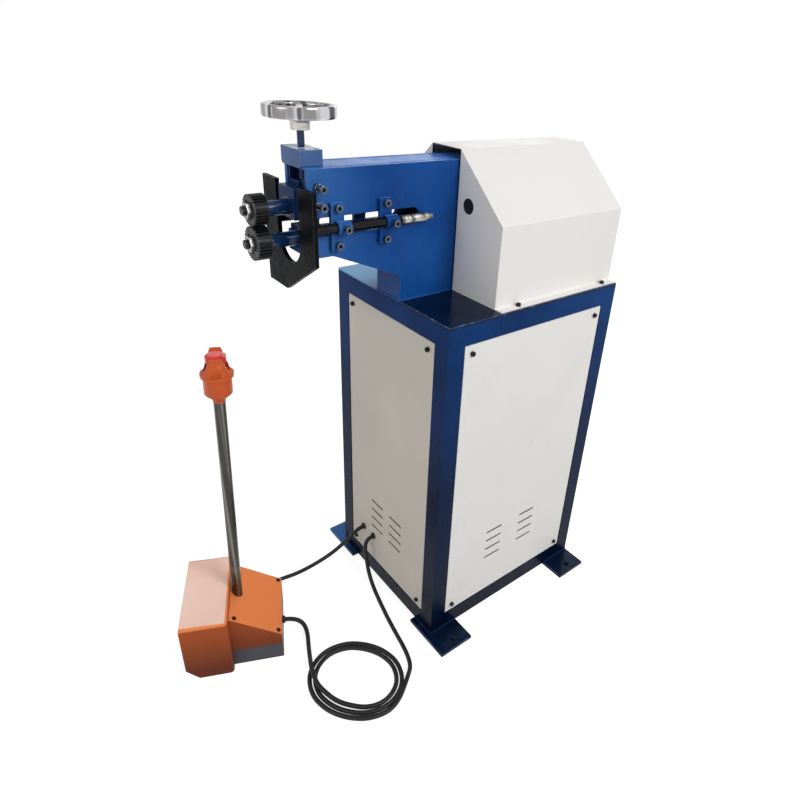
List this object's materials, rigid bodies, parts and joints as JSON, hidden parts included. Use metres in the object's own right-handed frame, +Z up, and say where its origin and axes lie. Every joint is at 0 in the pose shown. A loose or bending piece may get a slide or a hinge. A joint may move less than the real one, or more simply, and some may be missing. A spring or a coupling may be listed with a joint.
{
  "type": "electric bead roller",
  "caption": "Motor-driven deep-throat bead roller for sheet metal on a steel cabinet, with a foot switch and an emergency stop on a pole.",
  "frame": {"origin": "on the floor, at the centre of the floor-bolt holes in the foot plates", "axes": "+Z up, -Y toward the roller end (front), +X toward the machine's right-hand side seen from the rear"},
  "size_m": [0.5558, 0.9855, 1.15],
  "materials": {
    "frame_blue": "semi-gloss",
    "panel_grey": "satin",
    "steel": "machined",
    "polished": "polished",
    "dark_steel": "blackened",
    "bronze": "machined",
    "cast_grey": "painted",
    "alloy": "cast",
    "pole_grey": "anodised",
    "orange": "moulded",
    "black_plastic": "moulded",
    "red": "moulded",
    "cable": "matt",
    "rubber": "matt"
  },
  "bodies": {
    "machine": {"cabinet_frame": "frame_blue", "top_plate": "frame_blue", "front_panel": "panel_grey", "rear_panel": "panel_grey", "side_panels": "panel_grey", "cover_screws": "dark_steel", "foot_plates": "frame_blue", "arm_side_right": "frame_blue", "arm_side_left": "frame_blue", "arm_spine": "frame_blue", "slide_guides": "steel", "gib_screws": "dark_steel", "top_block": "frame_blue", "socket_screws": "dark_steel", "lower_bearing_block": "frame_blue", "lower_front_bush": "bronze", "rear_bearing_plate": "steel", "lower_rear_bearing": "steel", "reducer_housing": "alloy", "reducer_stand": "dark_steel", "motor_housing": "cast_grey", "control_box": "black_plastic", "hood": "panel_grey", "gauge_clamps": "frame_blue", "cable_glands": "black_plastic", "pedal_base": "black_plastic", "pedal_hood": "orange", "pedal_lid": "orange", "pedal_switch": "black_plastic", "treadle_pin": "steel", "pole": "pole_grey", "stop_cup": "orange", "stop_cable": "cable", "pedal_cable_drop": "cable", "pedal_cable_loops": "cable", "pedal_cable_tail": "cable"},
    "slide": {"slide_block": "steel", "slide_bush": "bronze", "slide_keepers": "steel"},
    "screw": {"pressure_screw": "steel", "handwheel": "polished"},
    "lower_drive": {"lower_shaft": "steel", "lower_roller": "dark_steel", "lower_roller_nut": "steel", "lower_gear": "steel", "coupling_halves": "alloy", "coupling_spider": "rubber", "reducer_output_shaft": "steel"},
    "upper_tilt": {"upper_rear_bearing": "steel"},
    "upper_drive": {"upper_shaft": "steel", "upper_roller": "dark_steel", "upper_roller_nut": "steel", "upper_gear": "steel"},
    "motor": {"motor_rotor": "steel"},
    "gauge": {"gauge_plate": "dark_steel", "gauge_rods": "steel"},
    "foot_treadle": {"treadle": "black_plastic", "treadle_spring": "steel"},
    "stop_slide": {"stop_stem": "black_plastic"},
    "stop_head": {"stop_button": "red"}
  },
  "joints": [
    {"name": "handwheel_turn", "type": "hinge", "parent": "slide", "child": "screw", "pos_m": [0, -0.404, 1.14], "axis": [0, 0, 1], "range_deg": [-60, 1140]},
    {"name": "slide_lift", "type": "slide", "parent": "machine", "child": "slide", "axis": [0, 0, 1], "range_m": [-0.00051, 0.00951]},
    {"name": "upper_shaft_tilt", "type": "hinge", "parent": "machine", "child": "upper_tilt", "pos_m": [0, -0.0535, 0.994], "axis": [-1, 0, 0], "range_deg": [-0.08, 1.55]},
    {"name": "lower_shaft_spin", "type": "hinge", "parent": "machine", "child": "lower_drive", "pos_m": [0, -0.0535, 0.94], "axis": [0, 1, 0], "continuous": true},
    {"name": "upper_shaft_spin", "type": "hinge", "parent": "upper_tilt", "child": "upper_drive", "pos_m": [0, -0.0535, 0.994], "axis": [0, 1, 0], "continuous": true},
    {"name": "motor_spin", "type": "hinge", "parent": "machine", "child": "motor", "pos_m": [-0.063, 0.1075, 0.7], "axis": [0, 0, 1], "continuous": true},
    {"name": "gauge_slide", "type": "slide", "parent": "machine", "child": "gauge", "axis": [0, 1, 0], "range_m": [-0.06, 0.008]},
    {"name": "treadle_press", "type": "hinge", "parent": "machine", "child": "foot_treadle", "pos_m": [-0.08604, -0.60758, 0.032], "axis": [0.9078, -0.4195, 0], "range_deg": [0, 8], "stiffness_Nm_per_rad": 6, "springref_deg": -6.88, "deforming": ["treadle_spring"]},
    {"name": "stop_press", "type": "slide", "parent": "machine", "child": "stop_slide", "axis": [0.0146, 0.0317, 0.9994], "range_m": [-0.005, 0], "stiffness_N_per_m": 1500, "springref_m": 0.002},
    {"name": "stop_twist", "type": "hinge", "parent": "stop_slide", "child": "stop_head", "pos_m": [-0.06496, -0.56195, 0.715], "axis": [0.0146, 0.0317, 0.9994], "range_deg": [0, 45], "stiffness_Nm_per_rad": 0.1, "springref_deg": -17.19}
  ],
  "couplings": [
    {"joint": "slide_lift", "follows": "handwheel_turn", "m_per_rad": 0.00047746},
    {"joint": "upper_shaft_tilt", "follows": "handwheel_turn", "ratio": 0.0013622},
    {"joint": "upper_shaft_spin", "follows": "lower_shaft_spin", "ratio": -1},
    {"joint": "motor_spin", "follows": "lower_shaft_spin", "ratio": 40}
  ]
}
